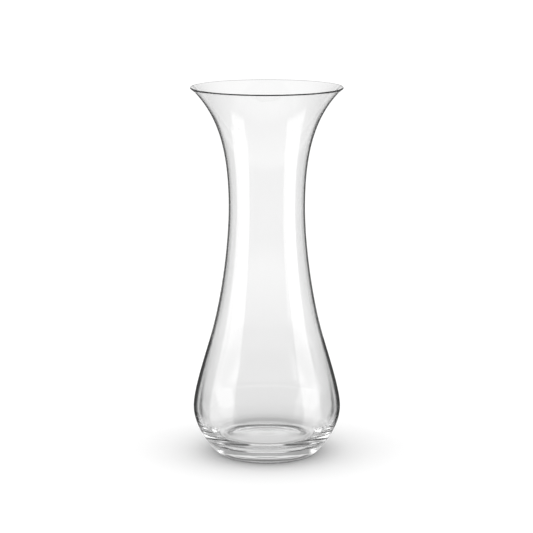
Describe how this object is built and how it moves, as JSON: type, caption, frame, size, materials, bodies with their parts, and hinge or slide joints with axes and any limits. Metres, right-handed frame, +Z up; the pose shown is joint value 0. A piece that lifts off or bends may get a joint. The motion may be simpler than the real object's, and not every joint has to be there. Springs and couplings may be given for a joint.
{
  "type": "flower vase",
  "caption": "Clear glass flower vase with a trumpet mouth, narrow waist, round belly and heavy foot, open at the top.",
  "frame": {"origin": "on the vase's axis, on the plane that the foot stands on", "axes": "+Z up along the vase's axis, towards the mouth; X and Y are alike, because the vase is round"},
  "size_m": [0.1144, 0.1144, 0.28],
  "materials": {
    "clear_glass": "clear blown glass, fire-polished"
  },
  "bodies": {
    "root": {"vase_body": "clear_glass"}
  },
  "joints": []
}
